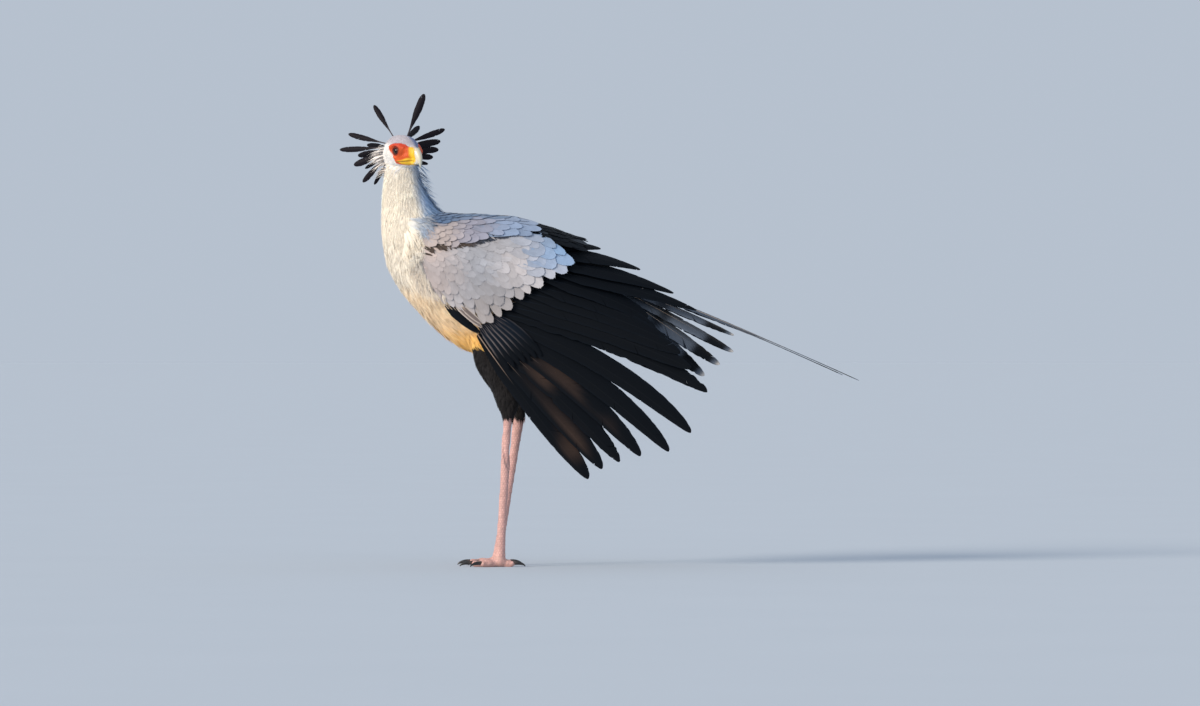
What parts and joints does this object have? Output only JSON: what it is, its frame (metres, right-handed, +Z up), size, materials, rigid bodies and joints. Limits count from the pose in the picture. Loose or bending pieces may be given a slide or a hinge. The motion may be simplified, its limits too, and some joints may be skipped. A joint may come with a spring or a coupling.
{
  "type": "secretary bird",
  "caption": "Life-size secretary bird standing still, with a fanned black crest, head turned over its left side, loosely drooped wings and long thin central tail feathers.",
  "frame": {"origin": "on the floor, under the middle of the model's box", "axes": "+Z up, -X towards the breast, +X towards the tail, -Y towards the bird's left side"},
  "size_m": [1.1456, 0.2154, 1.0422],
  "materials": {
    "face_feathers": "short soft feathers, pale grey, with bare orange skin round the eye",
    "cream_feathers": "soft loose feathers, cream white",
    "black_feathers": "short matt black feathers",
    "grey_feathers": "soft overlapping feathers, light grey",
    "flight_feathers": "stiff sleek feathers, black with pale shafts",
    "tail_feathers": "stiff feathers, grey brown with black bands and white tips",
    "bill_horn": "smooth horn, pale bluish grey",
    "cere": "smooth waxy skin, yellow",
    "eye": "wet and dark brown",
    "claw_horn": "smooth horn, black",
    "leg_scales": "scaly skin, flesh pink"
  },
  "bodies": {
    "root": {"bill_lower": "cere", "bill_upper": "bill_horn", "claw_left_hind": "claw_horn", "claw_left_inner": "claw_horn", "claw_left_middle": "claw_horn", "claw_left_outer": "claw_horn", "claw_right_hind": "claw_horn", "claw_right_inner": "claw_horn", "claw_right_middle": "claw_horn", "claw_right_outer": "claw_horn", "crest_left_1": "black_feathers", "crest_left_2": "black_feathers", "crest_left_3": "black_feathers", "crest_left_4": "black_feathers", "crest_left_5": "black_feathers", "crest_right_1": "black_feathers", "crest_right_2": "black_feathers", "crest_right_3": "black_feathers", "crest_right_4": "black_feathers", "crest_right_5": "black_feathers", "crest_right_6": "black_feathers", "crest_right_7": "black_feathers", "crest_right_8": "black_feathers", "crest_top_back": "black_feathers", "crest_top_left": "black_feathers", "crest_top_right": "black_feathers", "eye_left": "eye", "eye_right": "eye", "foot_left": "leg_scales", "foot_right": "leg_scales", "head": "face_feathers", "neck_lower": "cream_feathers", "neck_upper": "cream_feathers", "shank_left": "leg_scales", "shank_right": "leg_scales", "tail": "tail_feathers", "tail_streamer_left": "tail_feathers", "tail_streamer_right": "tail_feathers", "thigh_left": "black_feathers", "thigh_right": "black_feathers", "trunk": "cream_feathers", "wing_left_arm": "flight_feathers", "wing_left_back": "flight_feathers", "wing_left_coverts": "grey_feathers", "wing_left_hand": "flight_feathers", "wing_left_scapulars": "grey_feathers", "wing_right_arm": "flight_feathers", "wing_right_back": "flight_feathers", "wing_right_coverts": "grey_feathers", "wing_right_hand": "flight_feathers", "wing_right_scapulars": "grey_feathers"}
  },
  "joints": []
}
